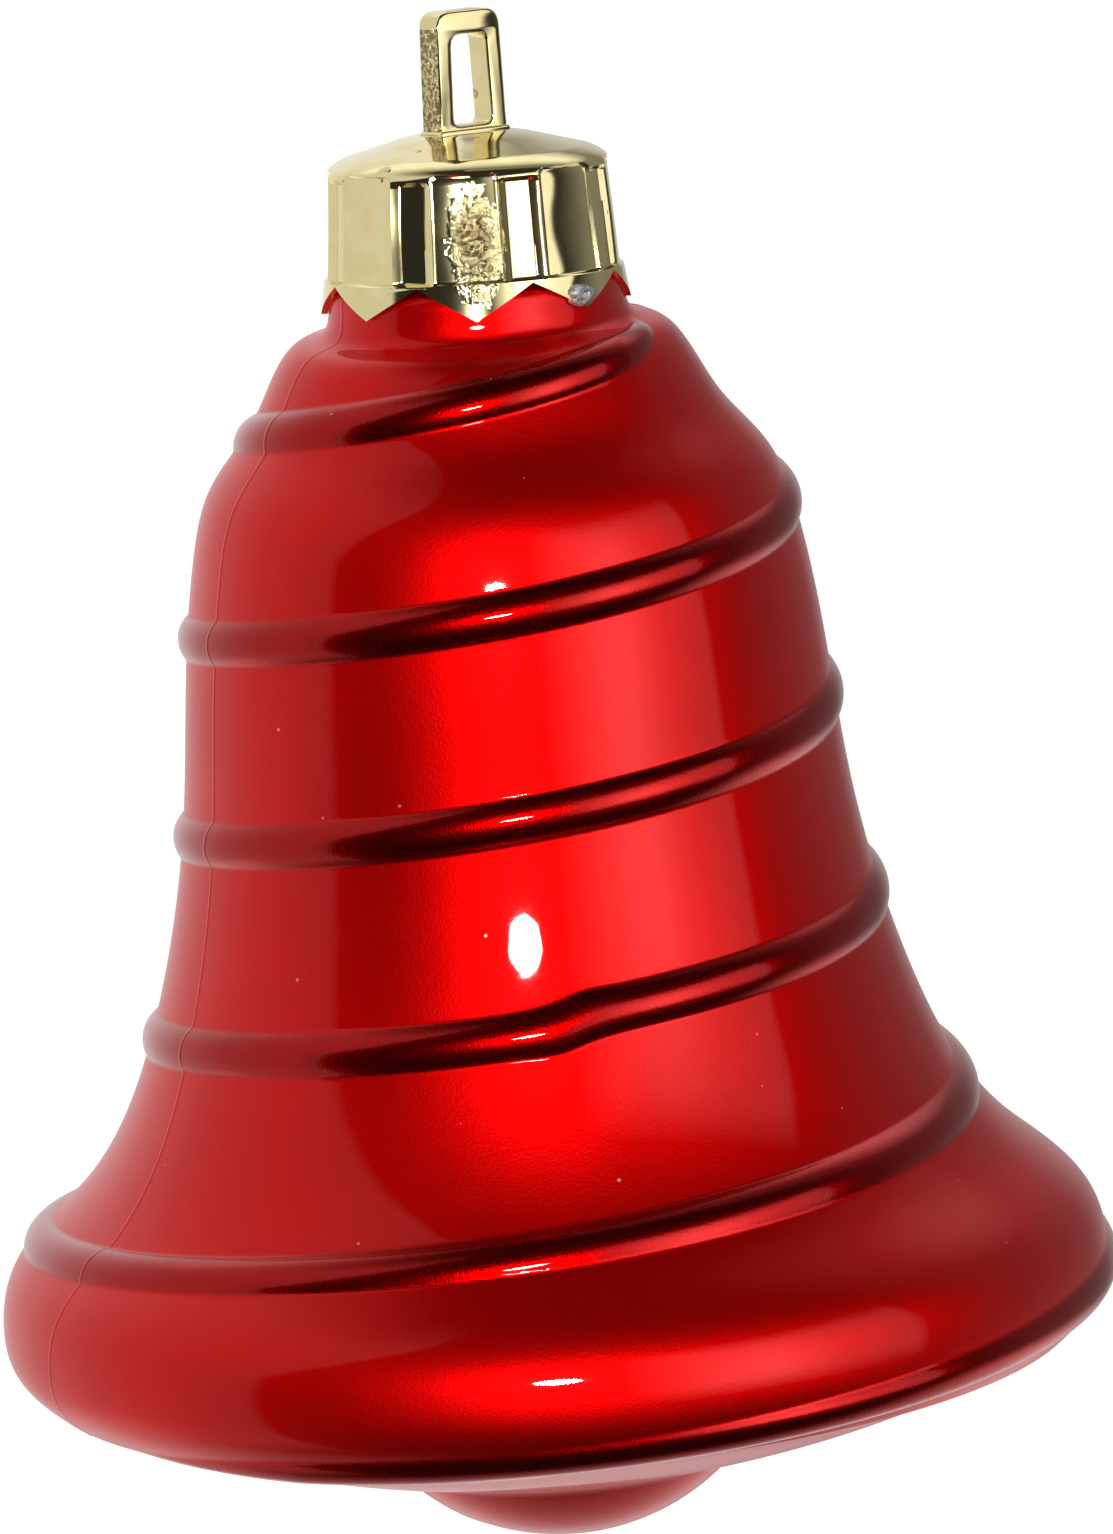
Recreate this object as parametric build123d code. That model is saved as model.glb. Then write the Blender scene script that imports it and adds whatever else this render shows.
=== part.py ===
from build123d import *
from math import asin, atan2, cos, degrees, exp, log, pi, radians, sin
import os

# Christmas bell ornament: a hollow blow-moulded bell with a spiral bead, and a
# toothed crown cap with a hanger loop that pushes onto the bell's neck.
# Millimetres. +Z is up, and the origin is the hanging point: the middle of the
# underside of the loop's top bar. The front of the bell faces -Y.
# Heights named *_height are measured up from the bell's widest ring.

HANGING_POINT_HEIGHT = 75.6

# Bell shell
wall = 1.2
hollow_bands = 5
rim_radius = 33.2
lip_bottom_radius = 31.0
lip_bottom_height = -4.0
neck_radius = 7.7
neck_top_height = 66.9
bore_base_height = 60.2
collar_radius = 8.35
collar_top_radius = 8.15
collar_top_height = 61.0
collar_edge_height = 60.5
collar_base_height = 59.6
shoulder_radius = 9.4
shoulder_height = 58.7
clapper_ball_radius = 14.0
clapper_bottom_height = -15.2
clapper_foot_radius = 10.6
clapper_centre_height = clapper_bottom_height + clapper_ball_radius
clapper_foot_height = clapper_centre_height - (clapper_ball_radius**2 - clapper_foot_radius**2) ** 0.5

# Spiral bead on the shell, rising to the right across the front
bead_radius = 0.8
bead_stand_out = 0.5
bead_pitch = 11.9
bead_front_height = -3.66
bead_floor_height = -4.6
bead_first_angle = 205
bead_last_angle = 2150
bead_points_per_turn = 16

# Crown cap
cap_bottom_height = 61.4
cap_side_top_height = 67.6
cap_rim_top_height = 68.4
cap_peak_height = 69.75
cap_bottom_radius = 8.9
cap_top_radius = 8.5
cap_rim_radius = 7.85
cap_peak_radius = 3.0
cap_wall = 1.0
neck_clearance = 0.1
tooth_count = 8
tooth_tip_height = 59.4
tooth_tip_radius = 9.3
tooth_thickness = 0.5
panel_turn = -2.0
panel_depth = 0.3
panel_width = 6
flute_width = 1.9
flute_depth = 0.45
side_edge = 0.3
tooth_root = 0.1
sleeve_length = 4.4
sleeve_root = 0.7
sleeve_wall = 0.8
sleeve_slot_count = 4
sleeve_slot_width = 1.4

# Hanger loop, turned about Z so that one leg stands forward on the left
loop_turn = 36
loop_width = 4.9
loop_top_width = 4.5
loop_depth = 1.9
loop_bar = 1.05
loop_top_bar = 1.4
loop_corner_radius = 1.0
eye_corner_radius = 0.6
eye_bottom_height = 70.2
foot_margin = 0.3
foot_bottom_height = 69.4
foot_top_height = 70.0
barb_bottom_height = 67.3
barb_top_height = 68.5
barb_reach = 0.35


def from_widest_ring(part):
    """Move a part drawn with its heights from the widest ring into the part's own frame."""
    return Pos(0, 0, -HANGING_POINT_HEIGHT) * part


def turned(half_outline):
    """Revolve a closed outline, drawn as (radius, height), about the bell's axis."""
    return revolve(Plane.XZ * half_outline, Axis.Z)


def flank_line():
    """Outer curve of the bell, from the foot of the neck down over the lip."""
    return Spline(
        (shoulder_radius, shoulder_height),
        (12.4, 56.2),
        (14.1, 53.0),
        (16.7, 49.6),
        (18.6, 42.0),
        (19.9, 30.0),
        (22.6, 17.9),
        (28.5, 7.2),
        (32.5, 2.3),
        (rim_radius, 0),
        (32.8, -2.2),
        (lip_bottom_radius, lip_bottom_height),
    )


def neck_line():
    """Side of the neck, down over the collar that the cap's teeth stand round."""
    return Polyline(
        (neck_radius, neck_top_height),
        (neck_radius, collar_top_height),
        (collar_top_radius, collar_top_height),
        (collar_radius, collar_edge_height),
        (collar_radius, collar_base_height),
    )


def neck_fillet_line():
    """Concave curve from the collar out to the shoulder."""
    return Spline(
        (collar_radius, collar_base_height),
        (shoulder_radius, shoulder_height),
        tangents=[(0, -1), (1, -0.15)],
    )


def dome_line():
    """Underside of the bell, from the lip in to the foot of the moulded clapper."""
    return Spline(
        (lip_bottom_radius, lip_bottom_height),
        (20, -7.8),
        (clapper_foot_radius, clapper_foot_height),
        tangents=[(-0.8, -0.45), (-1, -0.12)],
    )


def clapper_line(ball_radius):
    """Round end of the moulded clapper, in to the axis, on a ball of the given radius."""

    def on_ball(angle):
        return (ball_radius * sin(angle), clapper_centre_height - ball_radius * cos(angle))

    foot_angle = asin(clapper_foot_radius / clapper_ball_radius)
    return ThreePointArc(on_ball(foot_angle), on_ball(foot_angle / 2), on_ball(0))


def bell_outline():
    """Closed half outline of the bell as if it were solid."""
    neck = neck_line()
    clapper = clapper_line(clapper_ball_radius)
    axis = Polyline(clapper @ 1, (0, neck_top_height), neck @ 0)
    return make_face([neck, neck_fillet_line(), flank_line(), dome_line(), clapper, axis])


def under_the_skin(line, shares):
    """Points one wall thickness inside a line, at the given shares of its length."""
    return [line @ share - wall * Vector(-(line % share).Y, (line % share).X) for share in shares]


def hollow_outline():
    """Closed half outline of the space inside the bell, open through the neck, its wall drawn in bands."""
    bore_radius = neck_radius - wall
    open_height = neck_top_height + 1
    bore = Line((bore_radius, open_height), (bore_radius, bore_base_height))
    neck_points = under_the_skin(neck_fillet_line(), [0.4, 0.7])
    flank_points = under_the_skin(flank_line(), [0.02, 0.05] + [0.04 * step for step in range(2, 25)])
    dome_points = under_the_skin(dome_line(), [0.1, 0.3, 0.5, 0.7, 0.9])
    clapper = clapper_line(clapper_ball_radius - wall)
    inner_wall = Spline(bore @ 1, *neck_points, *flank_points, *dome_points, clapper @ 0)
    bands = [inner_wall.trim(band / hollow_bands, (band + 1) / hollow_bands) for band in range(hollow_bands)]
    axis = Polyline(clapper @ 1, (0, open_height), bore @ 0)
    return make_face([bore, *bands, clapper, axis])


def flank_place(flank, height):
    """Point of the flank at a height, and the way out of the wall there, as (radius, height) pairs."""
    low, high = 0.0, 1.0
    for _ in range(40):
        middle = (low + high) / 2
        if (flank @ middle).Y > height:
            low = middle
        else:
            high = middle
    along = flank % low
    return flank @ low, Vector(-along.Y, along.X)


def bead_height(angle):
    """Height of the spiral bead, which levels out where it turns under the lip."""
    rise = bead_front_height + bead_pitch * (angle - 270) / 360 - bead_floor_height
    return bead_floor_height + log(1 + exp(rise))


def spiral_bead():
    """Round bead wound up the flank, sunk in the wall to just short of its inner side."""
    flank = flank_line()
    step = 360 / bead_points_per_turn
    count = round((bead_last_angle - bead_first_angle) / step)
    points = []
    for index in range(count + 1):
        angle = bead_first_angle + (bead_last_angle - bead_first_angle) * index / count
        place, outward = flank_place(flank, bead_height(angle))
        centre = place - outward * (bead_radius - bead_stand_out)
        points.append((centre.X * cos(radians(angle)), centre.X * sin(radians(angle)), centre.Y))
    path = Spline(*points)
    section = Plane(origin=path @ 0, z_dir=path % 0) * Circle(bead_radius)
    return sweep(section, path=path)


def bell_shell():
    """Hollow bell with its open neck, spiral bead, closed base dome and moulded clapper."""
    return turned(bell_outline()) - turned(hollow_outline()) + spiral_bead()


def crown_blank():
    """Cap before its teeth are cut: side wall, coned top, flared skirt and open inside."""
    peak = (0, cap_peak_height)
    bore_radius = neck_radius + neck_clearance
    inner_peak_height = cap_peak_height - cap_wall
    inner_rim_height = cap_side_top_height - 0.2
    outline = Polyline(
        peak,
        (cap_peak_radius, cap_peak_height),
        (cap_rim_radius, cap_rim_top_height),
        (cap_top_radius - 0.15, cap_rim_top_height - 0.4),
        (cap_top_radius, cap_side_top_height),
        (cap_bottom_radius, cap_bottom_height),
        (tooth_tip_radius, tooth_tip_height),
        (tooth_tip_radius - tooth_thickness, tooth_tip_height),
        (cap_bottom_radius - tooth_thickness, cap_bottom_height - 0.2),
        (bore_radius, cap_bottom_height + 0.3),
        (bore_radius, inner_rim_height),
        (cap_peak_radius, inner_peak_height),
        (0, inner_peak_height),
        peak,
    )
    return turned(make_face(outline))


def tooth_gap():
    """Wedge that parts two teeth, pointing up to the foot of the cap's side."""
    drop = cap_bottom_height - tooth_tip_height
    half_width = tooth_tip_radius * pi / tooth_count - 0.15
    wedge = Polyline(
        (0, -tooth_root),
        (half_width, -drop),
        (half_width, -drop - 1),
        (-half_width, -drop - 1),
        (-half_width, -drop),
        (0, -tooth_root),
    )
    face = Plane.YZ * make_face(wedge)
    return Pos(cap_bottom_radius - 2, 0, cap_bottom_height) * extrude(face, 4)


def side_cutter(depth, width):
    """Block that cuts a flat this deep into the cap's leaning side, between its two plain edges."""
    height = cap_side_top_height - cap_bottom_height - 2 * side_edge
    taper = degrees(atan2(cap_bottom_radius - cap_top_radius, cap_side_top_height - cap_bottom_height))
    block = Pos(1 - depth, 0, 0) * Box(2, width, height)
    middle_radius = (cap_bottom_radius + cap_top_radius) / 2
    middle_height = (cap_bottom_height + cap_side_top_height) / 2
    return Pos(middle_radius, 0, middle_height) * Rot(0, -taper, 0) * block


def grip_sleeve():
    """Slotted sleeve under the cap's top that springs against the inside of the neck."""
    outer_radius = neck_radius - wall - neck_clearance
    height = sleeve_length + sleeve_root
    ring = Cylinder(outer_radius, height) - Cylinder(outer_radius - sleeve_wall, height)
    slot = Pos(outer_radius, 0, -sleeve_root / 2) * Box(outer_radius * 2, sleeve_slot_width, sleeve_length)
    for index in range(sleeve_slot_count):
        ring -= Rot(0, 0, 360 * index / sleeve_slot_count) * slot
    return Pos(0, 0, cap_side_top_height + (sleeve_root - sleeve_length) / 2) * ring


def crown_cap():
    """Cap with its flat panels, flutes and triangular teeth, ready for the loop's legs."""
    cap = crown_blank()
    sector = 360 / tooth_count
    for index in range(tooth_count):
        tooth_angle = 270 + sector * index
        cap -= Rot(0, 0, tooth_angle + sector / 2) * tooth_gap()
        cap -= Rot(0, 0, tooth_angle + panel_turn + sector / 2) * side_cutter(flute_depth, flute_width)
        cap -= Rot(0, 0, tooth_angle + panel_turn) * side_cutter(panel_depth, panel_width)
    cap += grip_sleeve()
    return cap - hanger_loop()


def barbed_leg():
    """Leg below the foot, with a barb on its outer side that catches under the cap's top."""
    outline = Polyline(
        (0, foot_top_height),
        (loop_bar, foot_top_height),
        (loop_bar, barb_top_height),
        (loop_bar + barb_reach, barb_top_height),
        (loop_bar - 0.3, barb_bottom_height),
        (0, barb_bottom_height),
        (0, foot_top_height),
    )
    leg = extrude(Plane.XZ * make_face(outline), loop_depth / 2, both=True)
    return Pos(loop_width / 2 - loop_bar, 0, 0) * leg


def arch_outline():
    """Outside of the loop seen square on: straight sides that lean in a little, and a rounded top."""
    top = HANGING_POINT_HEIGHT + loop_top_bar
    outline = Polyline(
        (-loop_width / 2, foot_bottom_height),
        (loop_width / 2, foot_bottom_height),
        (loop_top_width / 2, top),
        (-loop_top_width / 2, top),
        (-loop_width / 2, foot_bottom_height),
    )
    face = make_face(outline)
    return fillet(face.vertices().group_by(Axis.Y)[-1], loop_corner_radius)


def hanger_loop():
    """Flat-sided loop on a low foot, with two barbed legs that pass through the cap's top."""
    eye = Rectangle(loop_width - 2 * loop_bar, HANGING_POINT_HEIGHT - eye_bottom_height)
    eye = Pos(0, (HANGING_POINT_HEIGHT + eye_bottom_height) / 2) * fillet(eye.vertices(), eye_corner_radius)
    arch = extrude(Plane.XZ * (arch_outline() - eye), loop_depth / 2, both=True)
    foot_height = foot_top_height - foot_bottom_height
    foot = Box(loop_width + 2 * foot_margin, loop_depth + 2 * foot_margin, foot_height)
    foot = Pos(0, 0, foot_bottom_height + foot_height / 2) * foot
    loop = arch + foot + barbed_leg() + Rot(0, 0, 180) * barbed_leg()
    return Rot(0, 0, loop_turn) * loop


os.makedirs("parts", exist_ok=True)
for make_piece in (bell_shell, crown_cap, hanger_loop):
    piece = make_piece()
    print(make_piece.__name__, round(piece.volume, 1), piece.is_valid, len(piece.solids()))
    export_step(from_widest_ring(piece), f"parts/{make_piece.__name__}.step")
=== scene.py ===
from math import asin, ceil, cos, degrees, pi, radians, sin, sqrt

import bmesh
import bpy
import numpy as np
from mathutils import Matrix, Vector


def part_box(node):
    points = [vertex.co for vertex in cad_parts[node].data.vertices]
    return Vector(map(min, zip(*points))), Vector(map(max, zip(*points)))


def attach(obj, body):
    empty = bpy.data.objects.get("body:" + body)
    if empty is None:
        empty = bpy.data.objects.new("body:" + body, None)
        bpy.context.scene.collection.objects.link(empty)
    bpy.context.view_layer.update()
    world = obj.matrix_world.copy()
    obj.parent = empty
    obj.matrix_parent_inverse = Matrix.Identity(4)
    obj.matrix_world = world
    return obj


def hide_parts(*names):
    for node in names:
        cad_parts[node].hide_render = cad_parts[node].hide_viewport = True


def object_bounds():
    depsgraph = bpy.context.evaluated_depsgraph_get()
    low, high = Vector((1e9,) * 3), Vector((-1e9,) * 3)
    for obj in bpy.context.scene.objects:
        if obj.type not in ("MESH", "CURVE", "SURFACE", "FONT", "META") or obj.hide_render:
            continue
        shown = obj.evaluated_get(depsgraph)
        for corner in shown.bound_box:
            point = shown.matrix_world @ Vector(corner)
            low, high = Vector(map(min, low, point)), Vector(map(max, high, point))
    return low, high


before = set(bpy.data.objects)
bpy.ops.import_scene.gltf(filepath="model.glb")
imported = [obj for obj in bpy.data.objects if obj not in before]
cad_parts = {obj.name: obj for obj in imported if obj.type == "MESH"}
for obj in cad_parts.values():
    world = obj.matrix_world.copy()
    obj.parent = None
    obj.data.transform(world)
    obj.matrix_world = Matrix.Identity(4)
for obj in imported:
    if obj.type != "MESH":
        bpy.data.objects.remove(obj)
cad_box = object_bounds()

MM = 0.001

# Heights are in millimetres up from the bell's widest ring, as in the CAD.
CLAPPER_BOTTOM = -15.2
SHELL_LOW, SHELL_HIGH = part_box("bell_shell")
CAP_LOW, CAP_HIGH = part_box("crown_cap")
_, LOOP_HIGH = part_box("hanger_loop")
RING_Z = SHELL_LOW[2] / MM - CLAPPER_BOTTOM


def height_of(z):
    """Height above the widest ring, in millimetres, of a frame height in metres."""
    return z / MM - RING_Z


NECK_TOP = height_of(SHELL_HIGH[2])
TOOTH_TIP = height_of(CAP_LOW[2])
CAP_PEAK = height_of(CAP_HIGH[2])
LOOP_TOP = height_of(LOOP_HIGH[2])

# Bell
NECK_RADIUS = 7.7
NECK_TOP_RADIUS = 7.45
NECK_FOOT = 61.6
NECK_BASE = 60.2
COLLAR_RADIUS = 8.75
COLLAR_LINE = [(8.2, 61.45), (8.55, 61.1), (COLLAR_RADIUS, NECK_BASE)]
FLANK_LINE = [
    (COLLAR_RADIUS, NECK_BASE), (8.85, 59.3), (9.15, 58.6), (9.7, 58.25), (10.7, 57.95), (12.4, 56.1),
    (14.1, 53.0), (16.7, 49.6), (18.0, 45.6), (18.8, 40.6), (19.9, 30.0), (22.6, 17.9), (28.5, 7.2),
    (32.65, 2.8), (33.2, 0.5), (32.85, -2.0), (31.0, -4.0),
]
DOME_LINE = [(31.0, -4.0), (28.0, -5.0), (24.0, -6.5), (20.0, -7.8), (15.0, -9.2)]
FLANK_SPACING = 0.12
WALL = 1.2
INNER_ROW_STEP = 6
BALL_RADIUS = 14.0
BALL_FOOT = 10.6

# Spiral bead
BEAD_PITCH = 11.9
BEAD_FRONT = -3.66
BEAD_FLOOR = -4.6
BEAD_FIRST = 205
BEAD_LAST = 2150
BEAD_FADE = 35
BEAD_RADIUS = 1.95
BEAD_PROUD = 0.55
BEAD_REACH = 1.9
BEAD_BLEND = 0.02
BEAD_LAPS = range(-1, 8)
BEAD_MARK = 0.08
KINK_ANGLE = 996
KINK_RISE = 0.26
KINK_SHARPNESS = 3
KINK_LENGTH = 45
KINK_SWELL = 0.14
KINK_SWELL_LENGTH = 6
FRONT = 270

# Parting line of the mould
SEAM_ANGLES = (205.0, 25.0)
SEAM_HALF_WIDTH = 0.16
SEAM_PROUD = 0.035
SEAM_OFFSETS = (-0.6, -0.45, -0.3, -0.15, 0.15, 0.3, 0.45, 0.6)
SEAM_END_RADIUS = 2

# Crown cap, which sits a little askew on the neck
CAP_CREASE = 61.4
CAP_BORE = 7.95
CAP_BORE_FOOT = 61.9
CAP_BORE_TOP = 67.1
CAP_SKIN = 0.4
TEETH = 8
TOOTH_TILT_RADIUS = 9.2
PANEL_TURN = -2.0
PANEL_HALF = 14.0
PANEL_FLATNESS = 0.25
PANEL_FACING = 0.006
FLUTE_HALF = 9.0
FLUTE_FLOOR_HALF = 5.0
FLUTE_DEPTH = 0.42
CAP_STEP = 0.75
CAP_CONE_FOOT = (7.2, CAP_PEAK - 1.1)
CAP_EDGE_FOOT = (8.5, 67.3)
CAP_CREASE_RADIUS = 8.9
CAP_SIDE_LINE = [CAP_EDGE_FOOT, (8.62, 65.4), (8.76, 63.3), (CAP_CREASE_RADIUS, CAP_CREASE)]
CAP_ROOF_PEAK = 68.8
PANEL_RADIUS = 8.7
PANEL_INSET = 0.17
PANEL_TOP = 67.95
FLUTE_TOP = 67.6
TOOTH_ROWS = 9
CAP_LEAN_BACK = 3.2
CAP_LEAN_RIGHT = 1.0

# Springy sleeve under the cap's top
SLEEVE_FINGERS = 4
SLEEVE_HALF_ANGLE = 37
SLEEVE_OUTSIDE = 5.85
SLEEVE_INSIDE = 5.3
SLEEVE_LOW = 63.4
SLEEVE_HIGH = 68.2
SLEEVE_LEAD_IN = 0.25
SLEEVE_EASE = 0.15
SLEEVE_COLUMNS = 25

# Broken moulding gate on one tooth
GATE_TURN = 43
GATE_RADIUS = 9.1
GATE_HEIGHT = 60.35
GATE_HALF_WIDTH = 0.95
GATE_HALF_HEIGHT = 0.66
GATE_PROUD = 0.42
GATE_PIT = 0.3
GATE_RINGS = 9
GATE_STEPS = 28

# Hanger loop
LOOP_TURN = 36
LOOP_WIDTH = 4.9
LOOP_TOP_WIDTH = 4.5
LOOP_DEPTH = 1.9
LOOP_BAR = 1.05
LOOP_TOP_BAR = 1.4
LOOP_SPARKLE_FROM = 2.0
EYE_BOTTOM = 70.2
EYE_TOP = LOOP_TOP - LOOP_TOP_BAR
FOOT_BOTTOM = 69.4
FOOT_TOP = 70.0
LEG_LINE = [(-0.95, 69.6), (-0.05, 69.6), (-0.05, 68.5), (0.3, 68.5), (-0.3, 67.3), (-0.95, 67.3)]


def natural_spline(points, spacing):
    """Points every spacing along a smooth curve through the given (radius, height) points."""
    pts = np.array(points, float)
    chord = np.concatenate([[0], np.cumsum(np.hypot(*np.diff(pts, axis=0).T))])
    count = len(pts)
    step = np.diff(chord)
    matrix = np.eye(count)
    right = np.zeros((count, 2))
    for i in range(1, count - 1):
        matrix[i, i - 1:i + 2] = step[i - 1], 2 * (step[i - 1] + step[i]), step[i]
        right[i] = 6 * ((pts[i + 1] - pts[i]) / step[i] - (pts[i] - pts[i - 1]) / step[i - 1])
    bend = np.linalg.solve(matrix, right)
    where = np.linspace(0, chord[-1], max(2, int(ceil(chord[-1] / spacing)) + 1))
    index = np.clip(np.searchsorted(chord, where, side="right") - 1, 0, count - 2)
    a = (chord[index + 1] - where)[:, None]
    b = (where - chord[index])[:, None]
    h = step[index][:, None]
    return (
        bend[index] * a**3 / (6 * h)
        + bend[index + 1] * b**3 / (6 * h)
        + (pts[index] / h - bend[index] * h / 6) * a
        + (pts[index + 1] / h - bend[index + 1] * h / 6) * b
    )


def arc(centre, radius, start, end, count):
    """Points on a circle in the (radius, height) plane, between two angles in degrees."""
    angles = np.radians(np.linspace(start, end, count))
    return np.column_stack([centre[0] + radius * np.cos(angles), centre[1] + radius * np.sin(angles)])


def joined(*lines):
    """One line of points from several that meet end to end."""
    kept = [lines[0]]
    for line in lines[1:]:
        kept.append(line[1:])
    return np.vstack(kept)


def outer_profile():
    """The bell's outer line from the neck's mouth down to the clapper's foot on the axis."""
    neck_foot = (NECK_RADIUS, NECK_FOOT)
    neck = joined(
        natural_spline([(NECK_TOP_RADIUS, NECK_TOP), neck_foot], 0.5),
        natural_spline([neck_foot, COLLAR_LINE[0]], 0.2),
        natural_spline(COLLAR_LINE, 0.15),
    )
    flank = natural_spline(FLANK_LINE, FLANK_SPACING)
    centre = CLAPPER_BOTTOM + BALL_RADIUS
    foot_angle = asin(BALL_FOOT / BALL_RADIUS)
    foot = (BALL_FOOT, centre - BALL_RADIUS * cos(foot_angle))
    dome = natural_spline(DOME_LINE + [foot], 0.5)
    ball = arc((0, centre), BALL_RADIUS, degrees(foot_angle) - 90, -90, 24)
    return joined(neck, flank, dome, ball)


def profile_normals(line):
    """Outward unit normals of a line of (radius, height) points that runs downwards."""
    along = np.gradient(line, axis=0)
    along /= np.hypot(*along.T)[:, None]
    return np.column_stack([-along[:, 1], along[:, 0]])


def bead_height(angle):
    """Height of the spiral bead's middle, which levels out as it turns under the lip."""
    rise = BEAD_FRONT + BEAD_PITCH * (angle - FRONT) / 360 - BEAD_FLOOR
    from_kink = angle - KINK_ANGLE
    kink = KINK_RISE * np.tanh(from_kink / KINK_SHARPNESS) * np.exp(-((from_kink / KINK_LENGTH) ** 2))
    return BEAD_FLOOR + np.logaddexp(0, rise) + kink


def bead_lift(line, angles):
    """How far the bead stands out at each profile point (rows) and angle (columns).

    Its section is a circle sunk below the skin, with a short soft edge, and its two ends sink away.
    """
    length = np.concatenate([[0], np.cumsum(np.hypot(*np.diff(line, axis=0).T))])
    outside = int(np.argmin(line[:, 1] + 1000 * (line[:, 0] < 30)))
    order = slice(0, outside + 1)
    lift = np.zeros((len(line), len(angles)))
    turn = angles[None, :]
    for lap in BEAD_LAPS:
        angle = turn + 360 * lap
        active = (angle > BEAD_FIRST) & (angle < BEAD_LAST)
        if not active.any():
            continue
        height = bead_height(angle)
        where = np.interp(-height, -line[order, 1], length[order])
        away = np.abs(length[:, None] - where)
        from_end = np.minimum(angle - BEAD_FIRST, BEAD_LAST - angle)
        fade = np.clip(1 - from_end / BEAD_FADE, 0, 1)
        wider = 1 + KINK_SWELL * np.exp(-(((angle - KINK_ANGLE) / KINK_SWELL_LENGTH) ** 2))
        sunk = BEAD_RADIUS - BEAD_PROUD + (BEAD_PROUD + 0.1) * fade
        section = np.sqrt(np.maximum(BEAD_RADIUS**2 - (away / wider) ** 2, 0)) - sunk
        soft = 0.5 * (section + np.sqrt(section**2 + BEAD_BLEND**2)) - 0.03 * BEAD_BLEND
        soft = np.where(away < BEAD_REACH, np.maximum(soft, 0), 0)
        lift = np.maximum(lift, np.where(active, soft, 0))
    return lift


def seam_lift(line, angles):
    """How far the mould's parting line stands out."""
    lift = np.zeros((len(line), len(angles)))
    for seam in SEAM_ANGLES:
        turn = (angles - seam + 180) % 360 - 180
        away = np.abs(np.radians(turn))[None, :] * np.maximum(line[:, :1], 0.5)
        lift = np.maximum(lift, SEAM_PROUD * np.clip(1 - away / SEAM_HALF_WIDTH, 0, 1))
    return lift


def column_angles():
    """Angles round the bell, closer together beside the parting lines."""
    angles = set(np.round(np.arange(0, 360, 1.0), 4))
    for seam in SEAM_ANGLES:
        for offset in SEAM_OFFSETS:
            angles.add(round((seam + offset) % 360, 4))
    return np.array(sorted(angles))


def mark(piece, name, values):
    """Give each vertex of a piece a number that its material can read."""
    layer = piece.data.attributes.new(name, "FLOAT", "POINT")
    layer.data.foreach_set("value", np.asarray(values, np.float32))


def make_object(name, vertices, faces, material, body, replaced=None, sharp=None):
    """A smooth-shaded mesh piece from vertices in millimetres above the widest ring."""
    mesh = bpy.data.meshes.new(name)
    moved = np.array(vertices, float) * MM
    moved[:, 2] += RING_Z * MM
    mesh.from_pydata(moved.tolist(), [], faces)
    mesh.materials.append(material)
    mesh.shade_smooth()
    mesh.validate()
    if sharp:
        mesh.set_sharp_from_angle(angle=radians(sharp))
    piece = bpy.data.objects.new(name, mesh)
    bpy.context.collection.objects.link(piece)
    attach(piece, body)
    if replaced:
        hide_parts(replaced)
    return piece


def grid_faces(rows, columns, first=0):
    """Quads of a grid of rows that closes round its columns."""
    faces = []
    for row in range(rows - 1):
        a = first + row * columns
        b = a + columns
        for column in range(columns):
            after = (column + 1) % columns
            faces.append((a + column, b + column, b + after, a + after))
    return faces


def bell_shell(material):
    """The moulded bell: outer skin with its bead and parting line, and a plain inner skin."""
    line = outer_profile()[:-1]
    angles = column_angles()
    normal = profile_normals(line)
    bead = bead_lift(line, angles)
    lift = bead + seam_lift(line, angles) * (line[:, :1] > SEAM_END_RADIUS)
    radius = line[:, :1] + normal[:, :1] * lift
    height = line[:, 1:] + normal[:, 1:] * lift
    turn = np.radians(angles)[None, :]
    outer = np.stack([radius * np.cos(turn), radius * np.sin(turn), height], -1)
    below_collar = line[:, 1] < NECK_BASE - 1
    bore = NECK_RADIUS - WALL
    neck_inside = [(NECK_TOP_RADIUS - WALL, NECK_TOP), (bore, NECK_FOOT), (bore, NECK_BASE + 0.2)]
    inner_line = np.vstack([neck_inside, (line - normal * WALL)[below_collar][::INNER_ROW_STEP]])
    inner_line[:, 0] = np.maximum(inner_line[:, 0], 0.3)
    inner_radius = np.repeat(inner_line[:, :1], len(angles), 1)
    inner_height = np.repeat(inner_line[:, 1:], len(angles), 1)
    inner = np.stack([inner_radius * np.cos(turn), inner_radius * np.sin(turn), inner_height], -1)
    columns = len(angles)
    outer_count = outer.shape[0] * columns
    vertices = np.vstack([outer.reshape(-1, 3), inner.reshape(-1, 3)])
    faces = grid_faces(outer.shape[0], columns)
    faces += [face[::-1] for face in grid_faces(inner.shape[0], columns, outer_count)]
    for c in range(columns):
        after = (c + 1) % columns
        faces.append((c, after, outer_count + after, outer_count + c))
    bottom = len(vertices)
    vertices = np.vstack([vertices, [(0, 0, CLAPPER_BOTTOM), (0, 0, CLAPPER_BOTTOM + WALL)]])
    last_outer = outer_count - columns
    last_inner = bottom - columns
    for c in range(columns):
        after = (c + 1) % columns
        faces.append((last_outer + c, bottom, last_outer + after))
        faces.append((last_inner + after, bottom + 1, last_inner + c))
    skin = make_object("bell_shell_skin", vertices, faces, material, "bell", "bell_shell")
    ridge = np.zeros(len(vertices))
    ridge[:outer_count] = np.clip(bead / BEAD_MARK, 0, 1).ravel()
    mark(skin, "ridge", ridge)
    return skin


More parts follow.
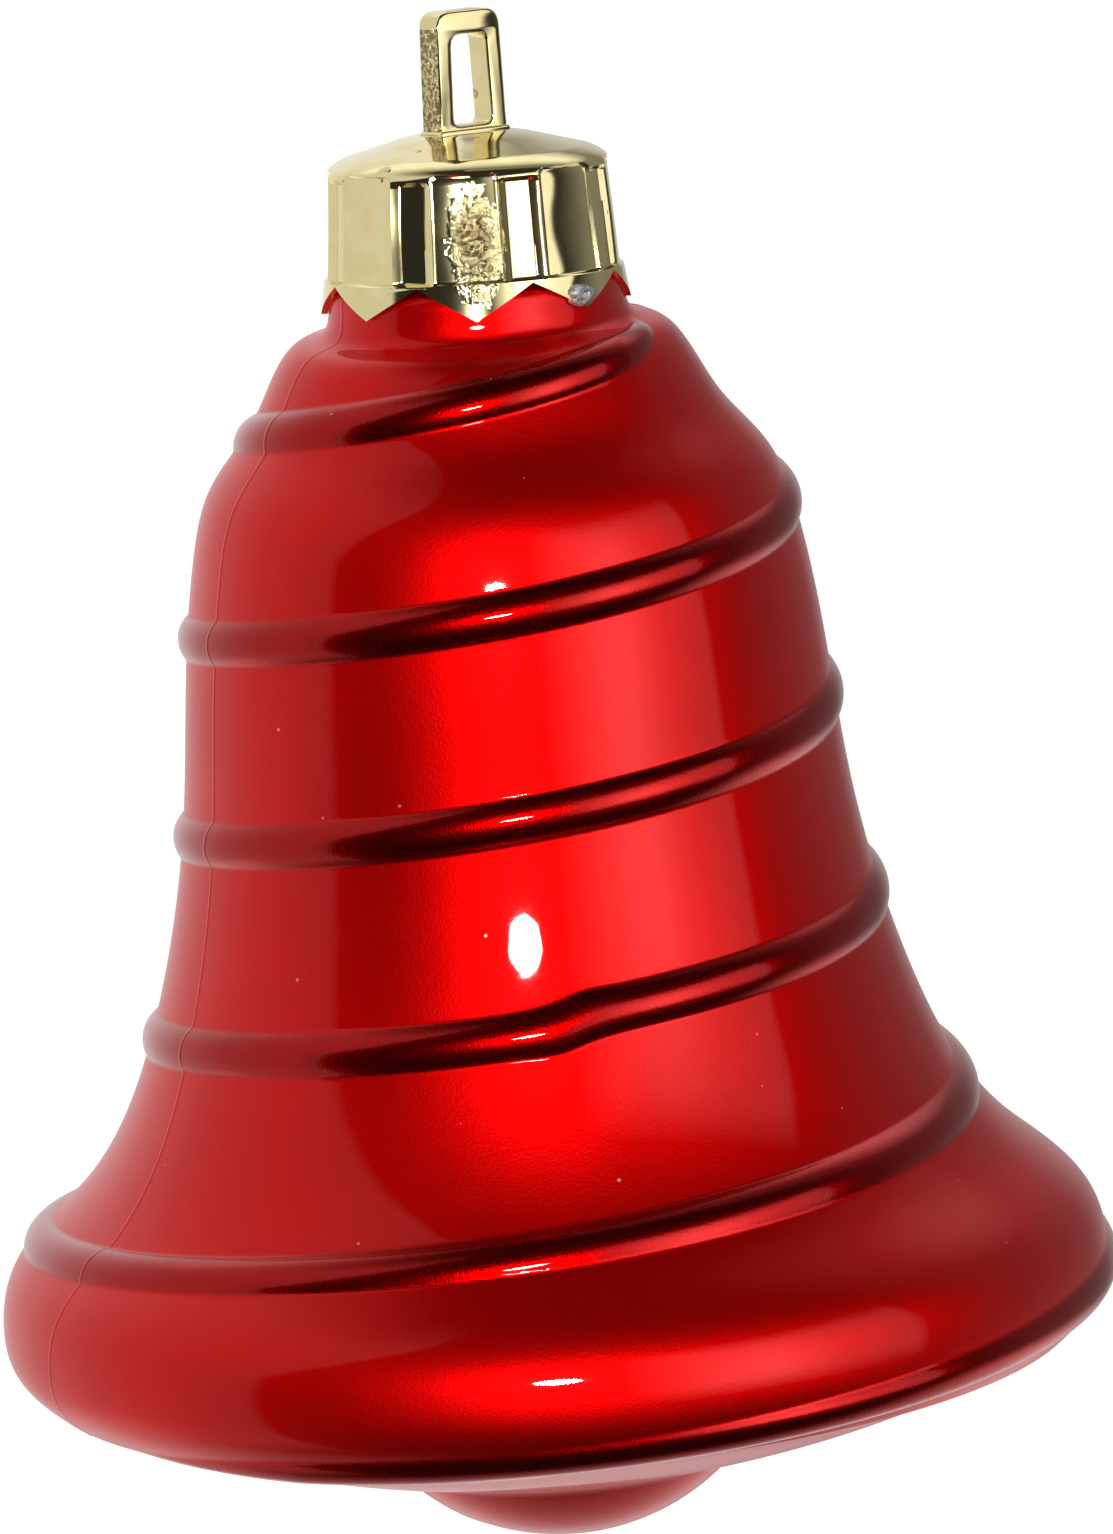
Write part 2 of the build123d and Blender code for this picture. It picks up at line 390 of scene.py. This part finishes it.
def askew(vertices):
    """Points of the cap and the loop, tipped back and to the right about the foot of the cap."""
    points = np.array(vertices, float) - (0, 0, CAP_CREASE)
    back, right = radians(-CAP_LEAN_BACK), radians(CAP_LEAN_RIGHT)
    about_x = np.array([[1, 0, 0], [0, cos(back), -sin(back)], [0, sin(back), cos(back)]])
    about_y = np.array([[cos(right), 0, sin(right)], [0, 1, 0], [-sin(right), 0, cos(right)]])
    return points @ (about_y @ about_x).T + (0, 0, CAP_CREASE)


def cap_profile():
    """Outer line of the plain cap, from near its peak down to the crease above the teeth."""
    cone_top = [(0.4, CAP_PEAK), (3.0, CAP_PEAK - 0.02), (5.0, CAP_PEAK - 0.5)]
    cone = natural_spline(cone_top + [CAP_CONE_FOOT], 0.3)
    edge = natural_spline([CAP_CONE_FOOT, (7.9, 68.3), (8.36, 67.85), CAP_EDGE_FOOT], 0.07)
    return joined(cone, edge, natural_spline(CAP_SIDE_LINE, 0.08))


def cap_hollows(height, angles):
    """How far the flat panels and the flutes between them lie inside the plain cap."""
    sector = 360 / TEETH
    from_panel = (angles - FRONT - PANEL_TURN + sector / 2) % sector - sector / 2
    from_flute = (angles - FRONT - PANEL_TURN) % sector - sector / 2
    chord = 1 - cos(radians(PANEL_HALF)) / np.cos(np.radians(from_panel))
    inside = np.clip((PANEL_HALF - np.abs(from_panel)) / 0.8, 0, 1)
    chord_depth = PANEL_RADIUS * np.maximum(chord, 0)
    flat = inside * (PANEL_FLATNESS * chord_depth + PANEL_INSET + PANEL_FACING * from_panel)
    flute_slope = FLUTE_HALF - FLUTE_FLOOR_HALF
    flute = FLUTE_DEPTH * np.clip((FLUTE_HALF - np.abs(from_flute)) / flute_slope, 0, 1)
    corner = 0.35 * np.clip((np.abs(from_panel) - 11) / 3, 0, 1) ** 2
    above_crease = np.clip((height - CAP_CREASE - 0.1) / 0.15, 0, 1)
    panel_blend = np.clip((PANEL_TOP - corner - height) / 0.14, 0, 1) * above_crease
    flute_blend = np.clip((FLUTE_TOP - height) / 0.3, 0, 1) * above_crease
    return flat * panel_blend + flute * flute_blend


def crown_cap(material):
    """Cap with flat panels, flutes and pointed teeth outside and a plain bore inside."""
    angles = np.arange(0, 360, CAP_STEP)
    line = cap_profile()
    dent = 0.025 * np.sin(np.radians(3 * angles + 40)) + 0.02 * np.sin(np.radians(7 * angles + 200))
    outer_height = np.repeat(line[:, 1:], len(angles), 1)
    outer_radius = line[:, :1] - cap_hollows(outer_height, angles[None, :])
    outer_radius += dent * np.clip(outer_radius - 5, 0, 1) * np.sin(outer_height * 0.9)
    sector = 360 / TEETH
    from_tooth = np.abs((angles - FRONT + sector / 2) % sector - sector / 2)
    which = np.round((angles - FRONT) / sector) % TEETH
    longer = 0.12 * np.cos(which * 2.4) + 0.06
    drop = (CAP_CREASE - TOOTH_TIP - 0.15 + longer) * (1 - from_tooth / (sector / 2)) + 0.03
    share = np.linspace(0, 1, TOOTH_ROWS)[1:, None]
    tooth_height = CAP_CREASE - share * drop
    flare = (TOOTH_TILT_RADIUS - line[-1, 0]) / (CAP_CREASE - TOOTH_TIP)
    tooth_radius = line[-1, 0] + flare * (CAP_CREASE - tooth_height)
    inside_tooth = tooth_radius[::-1] - CAP_SKIN
    inner = natural_spline([(CAP_BORE, CAP_BORE_FOOT), (CAP_BORE, CAP_BORE_TOP)], 0.8)
    roof = natural_spline([(CAP_BORE, CAP_BORE_TOP), (7.4, 67.5), (2.6, 68.75), (0.4, CAP_ROOF_PEAK)], 0.6)
    bore = joined(inner, roof)
    bore_radius = np.repeat(bore[:, :1], len(angles), 1)
    bore_height = np.repeat(bore[:, 1:], len(angles), 1)
    radius = np.vstack([outer_radius, tooth_radius, inside_tooth, bore_radius])
    height = np.vstack([outer_height, tooth_height, tooth_height[::-1], bore_height])
    turn = np.radians(angles)[None, :]
    vertices = np.stack([radius * np.cos(turn), radius * np.sin(turn), height], -1)
    rows, columns = vertices.shape[:2]
    vertices = vertices.reshape(-1, 3)
    faces = grid_faces(rows, columns)
    top = len(vertices)
    vertices = np.vstack([vertices, [(0, 0, CAP_PEAK), (0, 0, CAP_ROOF_PEAK)]])
    last = top - columns
    for c in range(columns):
        after = (c + 1) % columns
        faces.append((c, after, top))
        faces.append((last + after, last + c, top + 1))
    tipped = askew(vertices)
    return make_object("crown_cap_skin", tipped, faces, material, "hanger", "crown_cap", sharp=35)


def grip_sleeve(material):
    """Four springy fingers under the cap's top, inside the neck."""
    section = [
        (SLEEVE_OUTSIDE, SLEEVE_HIGH),
        (SLEEVE_OUTSIDE, SLEEVE_LOW + SLEEVE_LEAD_IN),
        (SLEEVE_OUTSIDE - SLEEVE_EASE, SLEEVE_LOW),
        (SLEEVE_INSIDE, SLEEVE_LOW),
        (SLEEVE_INSIDE, SLEEVE_HIGH),
    ]
    corners = len(section)
    vertices, faces = [], []
    for finger in range(SLEEVE_FINGERS):
        middle = (finger + 0.5) * 360 / SLEEVE_FINGERS
        start, end = middle - SLEEVE_HALF_ANGLE, middle + SLEEVE_HALF_ANGLE
        around = np.radians(np.linspace(start, end, SLEEVE_COLUMNS))
        first = len(vertices)
        for angle in around:
            vertices += [(radius * cos(angle), radius * sin(angle), height) for radius, height in section]
        for step in range(len(around) - 1):
            for corner in range(corners):
                a = first + step * corners + corner
                b = first + step * corners + (corner + 1) % corners
                faces.append((a, b, b + corners, a + corners))
        last = first + corners * (len(around) - 1)
        faces.append(tuple(first + corner for corner in reversed(range(corners))))
        faces.append(tuple(last + corner for corner in range(corners)))
    return make_object("grip_sleeve_skin", askew(vertices), faces, material, "hanger", sharp=35)


def gate_nub(material):
    """Broken-off moulding gate on the tooth to the right of the front, a low ring with a pit."""
    angle = radians(FRONT + GATE_TURN)
    out = Vector((cos(angle), sin(angle), 0))
    along = Vector((-sin(angle), cos(angle), 0))
    centre = out * GATE_RADIUS + Vector((0, 0, GATE_HEIGHT))
    vertices = []
    for ring in range(GATE_RINGS):
        away = ring / (GATE_RINGS - 1)
        lift = GATE_PROUD * sqrt(max(0.0, 1 - away**2)) - GATE_PIT * max(0.0, 1 - (away / 0.45) ** 2)
        for step in range(GATE_STEPS):
            turn = 2 * pi * step / GATE_STEPS
            wobble = 1 + 0.09 * sin(3 * turn + 0.6) + 0.05 * sin(7 * turn)
            place = centre + along * (GATE_HALF_WIDTH * away * wobble * cos(turn)) + out * (lift - 0.05)
            place.z += GATE_HALF_HEIGHT * away * wobble * sin(turn)
            vertices.append(tuple(place))
    back = [tuple(Vector(v) - out * 0.3) for v in vertices[-GATE_STEPS:]]
    vertices += back
    faces = grid_faces(GATE_RINGS + 1, GATE_STEPS)
    vertices.append(tuple(Vector(back[0]) * 0.5 + Vector(back[GATE_STEPS // 2]) * 0.5))
    last = GATE_RINGS * GATE_STEPS
    faces += [(last + (c + 1) % GATE_STEPS, last + c, len(vertices) - 1) for c in range(GATE_STEPS)]
    faces.append(tuple(range(GATE_STEPS)))
    return make_object("gate_nub", askew(vertices), faces, material, "hanger", sharp=60)


def curve_solid(outlines, depth, bevel):
    """Vertices and faces of outlines in the x-z plane, filled and given a depth with eased edges."""
    curve = bpy.data.curves.new("outline", "CURVE")
    curve.dimensions = "2D"
    curve.fill_mode = "BOTH"
    curve.extrude = depth / 2 - bevel
    curve.bevel_depth = bevel
    curve.bevel_resolution = 2
    curve.offset = -bevel
    for outline in outlines:
        spline = curve.splines.new("POLY")
        spline.points.add(len(outline) - 1)
        for point, (x, z) in zip(spline.points, outline):
            point.co = (x, z, 0, 1)
        spline.use_cyclic_u = True
    holder = bpy.data.objects.new("outline", curve)
    bpy.context.collection.objects.link(holder)
    bpy.context.view_layer.update()
    mesh = bpy.data.meshes.new_from_object(holder.evaluated_get(bpy.context.evaluated_depsgraph_get()))
    bpy.data.objects.remove(holder)
    solid = bmesh.new()
    solid.from_mesh(mesh)
    bmesh.ops.remove_doubles(solid, verts=solid.verts, dist=0.0005)
    bmesh.ops.dissolve_degenerate(solid, edges=solid.edges, dist=0.0005)
    bmesh.ops.recalc_face_normals(solid, faces=solid.faces)
    vertices = [(v.co.x, -v.co.z, v.co.y) for v in solid.verts]
    solid.verts.index_update()
    faces = [tuple(v.index for v in face.verts) for face in solid.faces]
    solid.free()
    return vertices, faces


def rounded(corners, radii, count=7):
    """Outline with each corner replaced by a short curve that starts and ends this far from it."""
    outline = []
    for index, corner in enumerate(corners):
        here = Vector(corner)
        before = (Vector(corners[index - 1]) - here).normalized() * radii[index]
        after = (Vector(corners[(index + 1) % len(corners)]) - here).normalized() * radii[index]
        if radii[index] == 0:
            outline.append(tuple(here))
            continue
        for step in range(count):
            t = step / (count - 1)
            outline.append(tuple(here + before * (1 - t) ** 2 + after * t**2))
    return outline


def hanger_loop(polished, sparkling):
    """Flat strap loop with its open eye, low foot and two barbed legs; its outer edges sparkle."""
    half, top_half = LOOP_WIDTH / 2, LOOP_TOP_WIDTH / 2
    outer = rounded(
        [(-half, FOOT_BOTTOM), (half, FOOT_BOTTOM), (top_half + 0.05, LOOP_TOP), (-top_half, LOOP_TOP)],
        [0, 0, 1.1, 1.0],
    )
    eye_half = half - LOOP_BAR
    top = eye_half - 0.15
    eye = rounded(
        [(-eye_half, EYE_BOTTOM), (eye_half, EYE_BOTTOM), (top, EYE_TOP), (-top, EYE_TOP)],
        [0.5, 0.5, 0.55, 0.7], 4,
    )
    solids = [curve_solid([outer, eye], LOOP_DEPTH, 0.17)]
    wide, narrow = half + 0.16, half + 0.06
    foot = rounded(
        [(-wide, FOOT_BOTTOM), (wide, FOOT_BOTTOM), (narrow, FOOT_TOP), (-narrow, FOOT_TOP)],
        [0.1, 0.1, 0.2, 0.2], 4,
    )
    solids.append(curve_solid([foot], LOOP_DEPTH + 0.3, 0.12))
    for side in (-1, 1):
        leg = [(side * (half + x), z) for x, z in LEG_LINE]
        solids.append(curve_solid([leg[::side]], LOOP_DEPTH - 0.1, 0.05))
    vertices, faces = [], []
    for points, sides in solids:
        faces += [tuple(index + len(vertices) for index in side) for side in sides]
        vertices += points
    turn = radians(LOOP_TURN)
    turned = [(x * cos(turn) - y * sin(turn), x * sin(turn) + y * cos(turn), z) for x, y, z in vertices]
    tipped = askew(turned)
    loop = make_object(
        "hanger_loop_skin", tipped, faces, polished, "hanger", "hanger_loop", sharp=50
    )
    loop.data.materials.append(sparkling)
    outward = Vector((cos(turn), sin(turn), 0))
    across = [face.center.dot(outward) / MM for face in loop.data.polygons]
    middle = (min(across) + max(across)) / 2
    for face, place in zip(loop.data.polygons, across):
        if abs(face.normal.dot(outward)) > 0.93 and abs(place - middle) > LOOP_SPARKLE_FROM:
            face.material_index = 1
    return loop


# ---------------------------------------------------------------- materials


DEEP_RED = (0.66, 0.0, 0.0, 1)
BRIGHT_RED = (0.73, 0.0, 0.0, 1)
# Near-black red of the painted shade that darkens the bead
BEAD_PAINTED_SHADE = (0.06, 0.0, 0.0, 1)
DUST = (0.85, 0.45, 0.42, 1)
GOLD = (0.86, 0.73, 0.36, 1)
PALE_GOLD = (0.93, 0.81, 0.45, 1)
PIT_BROWN = (0.22, 0.15, 0.05, 1)
GATE_DARK = (0.16, 0.16, 0.14, 1)
GATE_PALE = (0.62, 0.60, 0.58, 1)
FLOOR_BASE = (0.02, 0.02, 0.02, 1)
WHITE_PAPER = (1.0, 1.0, 1.0, 1)
COOL_PAPER = (0.99, 0.99, 1.0, 1)
PATCH_MIDDLE = (0.2, -8.6, RING_Z + 64.3)
PATCH_SQUASH = (0.75, 0.4, 0.36)


class Nodes:
    """A short way to wire the nodes of a material or of the world."""

    def __init__(self, name, world=False):
        self.material = bpy.data.worlds.new(name) if world else bpy.data.materials.new(name)
        self.material.use_nodes = True
        self.tree = self.material.node_tree
        self.shader = self.tree.nodes["Background" if world else "Principled BSDF"]
        self.output = self.tree.nodes["World Output" if world else "Material Output"]

    def add(self, kind, inputs=None, **settings):
        node = self.tree.nodes.new(kind)
        for key, value in settings.items():
            setattr(node, key, value)
        for key, value in (inputs or {}).items():
            if isinstance(value, bpy.types.NodeSocket):
                self.tree.links.new(value, node.inputs[key])
            else:
                node.inputs[key].default_value = value
        return node

    def math(self, operation, *values, clamp=False):
        node = self.add("ShaderNodeMath", dict(enumerate(values)), operation=operation, use_clamp=clamp)
        return node.outputs[0]

    def ramp(self, value, low, high, to_low=0.0, to_high=1.0):
        inputs = {"Value": value, "From Min": low, "From Max": high, "To Min": to_low, "To Max": to_high}
        return self.add("ShaderNodeMapRange", inputs, clamp=True).outputs[0]

    def mix(self, factor, first, second):
        node = self.add("ShaderNodeMix", {"Factor": factor}, data_type="RGBA")
        for socket, value in (("A", first), ("B", second)):
            target = [s for s in node.inputs if s.name == socket and s.type == "RGBA"][0]
            if isinstance(value, bpy.types.NodeSocket):
                self.tree.links.new(value, target)
            else:
                target.default_value = value
        return [s for s in node.outputs if s.type == "RGBA"][0]

    def noise(self, place, scale, detail=2.0, rough=0.5):
        inputs = {"Vector": place, "Scale": scale, "Detail": detail, "Roughness": rough}
        return self.add("ShaderNodeTexNoise", inputs).outputs["Fac"]

    def bump(self, height, distance, strength=1.0, normal=None):
        inputs = {"Height": height, "Distance": distance, "Strength": strength}
        if normal:
            inputs["Normal"] = normal
        return self.add("ShaderNodeBump", inputs).outputs["Normal"]

    def link(self, value, socket):
        self.tree.links.new(value, self.shader.inputs[socket])

    def millimetres(self):
        place = self.add("ShaderNodeTexCoord").outputs["Object"]
        scaled = self.add("ShaderNodeVectorMath", {0: place}, operation="SCALE")
        scaled.inputs["Scale"].default_value = 1 / MM
        return scaled.outputs[0]


def candy_red():
    """Satin red metallic base under a clear coat, with painted shade darkening the bead and a sharper
    gloss there, and dust specks.
    """
    n = Nodes("candy_red_lacquer")
    place = n.millimetres()
    cloud = n.noise(place, 0.12, 3)
    flake = n.noise(place, 6.0, 1)
    base = n.mix(n.ramp(cloud, 0.3, 0.7), DEEP_RED, BRIGHT_RED)
    ridge = n.add("ShaderNodeAttribute", attribute_name="ridge").outputs["Fac"]
    # Painted shade: the base colour is pulled towards near-black red where the bead stands out, in place
    # of the dark reflections along it.
    base = n.mix(n.math("MULTIPLY", ridge, 0.45), base, BEAD_PAINTED_SHADE)
    speck_cells = n.add("ShaderNodeTexVoronoi", {"Vector": place, "Scale": 0.45, "Randomness": 1.0})
    colour = n.add("ShaderNodeSeparateColor", {0: speck_cells.outputs["Color"]})
    chosen = n.math("GREATER_THAN", colour.outputs[0], 0.82)
    width = n.ramp(colour.outputs[1], 0, 1, 0.02, 0.06)
    speck = n.math("MULTIPLY", n.math("LESS_THAN", speck_cells.outputs["Distance"], width), chosen)
    base = n.mix(n.math("MULTIPLY", speck, 0.6), base, DUST)
    n.link(base, "Base Color")
    n.link(n.ramp(ridge, 0, 1, 0.97, 1.0), "Metallic")
    grain = n.ramp(flake, 0.2, 0.8, 0.43, 0.49)
    n.link(n.math("SUBTRACT", grain, n.math("MULTIPLY", ridge, 0.2)), "Roughness")
    n.shader.inputs["Coat Weight"].default_value = 0.42
    n.shader.inputs["Coat Roughness"].default_value = 0.035
    n.shader.inputs["Coat IOR"].default_value = 1.45
    peel = n.math("ADD", n.noise(place, 0.3, 1), n.math("MULTIPLY", n.noise(place, 1.4, 1), 0.12))
    coat = n.bump(peel, 0.012 * MM)
    n.link(coat, "Coat Normal")
    n.link(n.bump(flake, 0.012 * MM, normal=coat), "Normal")
    return n.material


def metallised_gold(name, spread=0.0):
    """Pale gold vacuum-metallised plastic, with sparkling rough patches that spread wider as asked."""
    n = Nodes(name)
    place = n.millimetres()
    front = n.add("ShaderNodeVectorMath", {0: place, 1: PATCH_MIDDLE}, operation="SUBTRACT").outputs[0]
    squashed = n.add("ShaderNodeVectorMath", {0: front, 1: PATCH_SQUASH}, operation="MULTIPLY").outputs[0]
    away = n.add("ShaderNodeVectorMath", {0: squashed}, operation="LENGTH").outputs["Value"]
    edge = n.math("MULTIPLY", n.noise(place, 1.6, 3), 1.2)
    patch = n.ramp(n.math("ADD", away, edge), 1.1, 1.9, 1, 0)
    patch = n.math("MAXIMUM", patch, n.ramp(n.noise(place, 0.32, 2), 0.7 - spread, 0.76 - spread))
    grain = n.noise(place, 3.4, 3, 0.6)
    base = n.mix(n.ramp(n.noise(place, 0.6, 3), 0.3, 0.7), GOLD, PALE_GOLD)
    pits = n.math("MULTIPLY", n.ramp(grain, 0.43, 0.57, 0.9, 0), patch)
    n.link(n.mix(pits, base, PIT_BROWN), "Base Color")
    n.shader.inputs["Metallic"].default_value = 1.0
    n.link(n.ramp(patch, 0, 1, 0.09, 0.2), "Roughness")
    ripple = n.bump(n.noise(place, 0.5, 1), 0.015 * MM)
    height = n.math("MULTIPLY", grain, patch)
    n.link(n.bump(height, 0.34 * MM, normal=ripple), "Normal")
    return n.material


def broken_gate_grey():
    """Bare grey plastic of the snapped gate, pitted and dull."""
    n = Nodes("broken_gate_grey")
    place = n.millimetres()
    spots = n.noise(place, 3.0, 3, 0.6)
    n.link(n.mix(n.ramp(spots, 0.35, 0.65), GATE_DARK, GATE_PALE), "Base Color")
    n.shader.inputs["Metallic"].default_value = 0.5
    n.link(n.ramp(spots, 0.3, 0.7, 0.25, 0.5), "Roughness")
    n.link(n.bump(spots, 0.1 * MM), "Normal")
    return n.material


def pale_floor():
    """Plain white studio paper, evenly lit where it is seen from above and clear otherwise."""
    n = Nodes("studio_floor")
    paper = n.noise(n.millimetres(), 0.01, 2)
    n.shader.inputs["Base Color"].default_value = FLOOR_BASE
    n.shader.inputs["Roughness"].default_value = 0.9
    n.link(n.mix(paper, WHITE_PAPER, COOL_PAPER), "Emission Color")
    n.shader.inputs["Emission Strength"].default_value = 1.04
    seen = n.add("ShaderNodeLightPath").outputs["Is Camera Ray"]
    below = n.add("ShaderNodeNewGeometry").outputs["Backfacing"]
    n.link(n.math("SUBTRACT", seen, below, clamp=True), "Alpha")
    return n.material


# ---------------------------------------------------------------- studio


REFERENCE_HEIGHT = 29.8
CAMERA_DISTANCE = 756.3
CAMERA_ELEVATION = 10.75
CAMERA_ROLL = 4.58
FRAME_WIDTH_MM = 66.3348
CAMERA_RIGHT = 2.39
CAMERA_UP = 1.70
SENSOR = 36
FLOOR_DROP = 0.07
FLOOR_HALF_SIDE = 4.0

# Brightness of each part of the surround, and the place and size of its brightest spot in degrees
FRONT_LIGHT = 0.025
LEFT_LIGHT = 0.7
FAR_LEFT_LIGHT = 0.15
RIGHT_LIGHT = 1.1
FAR_RIGHT_LIGHT = 0.2
BACK_LIGHT = 0.6
UNDER_LIGHT = 1.0
ABOVE_LIGHT = 1.1
SPOT_LIGHT = 2.1
SPOT_TURN, SPOT_RISE = 42.0, 3.0
SPOT_HALF_TURN, SPOT_HALF_RISE = 13.0, 22.0


def camera_axes():
    """Unit right, up and back vectors of the camera."""
    e = radians(CAMERA_ELEVATION)
    roll = radians(CAMERA_ROLL)
    level_right = Vector((1, 0, 0))
    level_up = Vector((0, sin(e), cos(e)))
    back = Vector((0, -cos(e), sin(e)))
    right = cos(roll) * level_right - sin(roll) * level_up
    up = sin(roll) * level_right + cos(roll) * level_up
    return right, up, back


def add_camera():
    """Camera at the photograph's angle, rolled so that the bell leans a little to the left."""
    right, up, back = camera_axes()
    target = Vector((0, 0, (RING_Z + REFERENCE_HEIGHT) * MM))
    place = target + back * CAMERA_DISTANCE * MM + right * CAMERA_RIGHT * MM + up * CAMERA_UP * MM
    data = bpy.data.cameras.new("camera")
    data.sensor_fit = "HORIZONTAL"
    data.sensor_width = SENSOR
    data.lens = SENSOR * CAMERA_DISTANCE / FRAME_WIDTH_MM
    data.clip_end = 100
    camera = bpy.data.objects.new("camera", data)
    bpy.context.collection.objects.link(camera)
    turn = Matrix((right, up, back)).transposed().to_4x4()
    camera.matrix_world = Matrix.Translation(place) @ turn
    bpy.context.scene.camera = camera


def aimed_lamp(name, azimuth, elevation, distance, width, height, radiance):
    """An oval lamp aimed at the bell. Azimuth 0 is the front, positive to the right."""
    a, e = radians(azimuth), radians(elevation)
    centre = Vector((0, 0, (RING_Z + REFERENCE_HEIGHT) * MM))
    away = Vector((sin(a) * cos(e), -cos(a) * cos(e), sin(e)))
    data = bpy.data.lights.new(name, "AREA")
    data.shape = "ELLIPSE"
    data.size = width
    data.size_y = height
    data.energy = radiance * pi * width * height
    lamp = bpy.data.objects.new(name, data)
    bpy.context.collection.objects.link(lamp)
    lamp.location = centre + away * distance
    lamp.rotation_euler = away.to_track_quat("Z", "Y").to_euler()


def surround():
    """Soft studio round the bell: a tall panel on each side, a dark front, a bright back and underside.

    Turn is in degrees to the right of the front, and rise is in degrees above level.
    """
    n = Nodes("surround", world=True)
    bpy.context.scene.world = n.material
    way = n.add("ShaderNodeTexCoord").outputs["Generated"]
    split = n.add("ShaderNodeSeparateXYZ", {0: way})
    x, y, z = split.outputs
    turn = n.math("MULTIPLY", n.math("ARCTAN2", x, n.math("MULTIPLY", y, -1.0)), 180 / pi)
    rise = n.math("MULTIPLY", n.math("ARCSINE", z), 180 / pi)
    leaning = n.math("SUBTRACT", turn, n.ramp(rise, 16, 60, 0, 26))
    far_left = n.ramp(turn, -120, -160, 0, FAR_LEFT_LIGHT)
    left = n.math("ADD", n.ramp(leaning, -64, -68, 0, LEFT_LIGHT), far_left)
    left = n.math("MULTIPLY", left, n.math("MULTIPLY", n.ramp(rise, 75, 55), n.ramp(rise, -60, -40)))
    right = n.math("MULTIPLY", n.ramp(turn, 12, 26, 0, RIGHT_LIGHT), n.ramp(turn, 81, 78))
    level = n.math("MULTIPLY", n.ramp(rise, 35, 25), n.ramp(rise, -14, -4))
    across = n.math("DIVIDE", n.math("SUBTRACT", turn, SPOT_TURN), SPOT_HALF_TURN)
    upward = n.math("DIVIDE", n.math("SUBTRACT", rise, SPOT_RISE), SPOT_HALF_RISE)
    spot = n.math("ADD", n.math("POWER", across, 2.0), n.math("POWER", upward, 2.0))
    spot = n.math("MULTIPLY", n.math("EXPONENT", n.math("MULTIPLY", spot, -1.0)), SPOT_LIGHT)
    right = n.math("MULTIPLY", n.math("ADD", right, spot), level)
    low = n.ramp(y, 0.8, 0.99, 0, BACK_LIGHT)
    under = n.math("MULTIPLY", n.ramp(z, -0.2, -0.5), n.ramp(y, -0.1, 0.3, 0, UNDER_LIGHT))
    under = n.math("MULTIPLY", under, n.ramp(z, -0.9, -0.6, 0.35, 1))
    above = n.math("MULTIPLY", n.ramp(rise, 22, 42), n.ramp(y, 0.2, 0.6, 0, ABOVE_LIGHT))
    side = n.ramp(turn, 84, 108, 0, FAR_RIGHT_LIGHT)
    back = n.math("MAXIMUM", n.math("MAXIMUM", low, side), n.math("MAXIMUM", under, above))
    total = n.math("ADD", n.math("MAXIMUM", left, back), n.math("ADD", right, FRONT_LIGHT))
    seen = n.add("ShaderNodeLightPath").outputs["Is Camera Ray"]
    n.tree.links.new(n.math("MAXIMUM", total, seen), n.shader.inputs["Color"])


def add_studio():
    """White floor well below the hanging bell, soft surround and one small lamp in front."""
    floor_z = cad_box[0][2] - FLOOR_DROP
    turns = ((-1, -1), (1, -1), (1, 1), (-1, 1))
    corners = [(x * FLOOR_HALF_SIDE, y * FLOOR_HALF_SIDE, floor_z) for x, y in turns]
    mesh = bpy.data.meshes.new("studio_floor")
    mesh.from_pydata(corners, [], [(0, 1, 2, 3)])
    mesh.materials.append(pale_floor())
    floor = bpy.data.objects.new("studio_floor", mesh)
    bpy.context.collection.objects.link(floor)
    surround()
    aimed_lamp(
        "front_lamp", azimuth=-1, elevation=11.4, distance=1.1, width=0.2, height=0.1, radiance=138
    )
    bpy.context.scene.view_settings.view_transform = "Standard"


add_camera()
add_studio()
bell_shell(candy_red())
gold = metallised_gold("metallised_gold")
crown_cap(gold)
grip_sleeve(gold)
gate_nub(broken_gate_grey())
hanger_loop(gold, metallised_gold("sparkling_gold", 0.5))
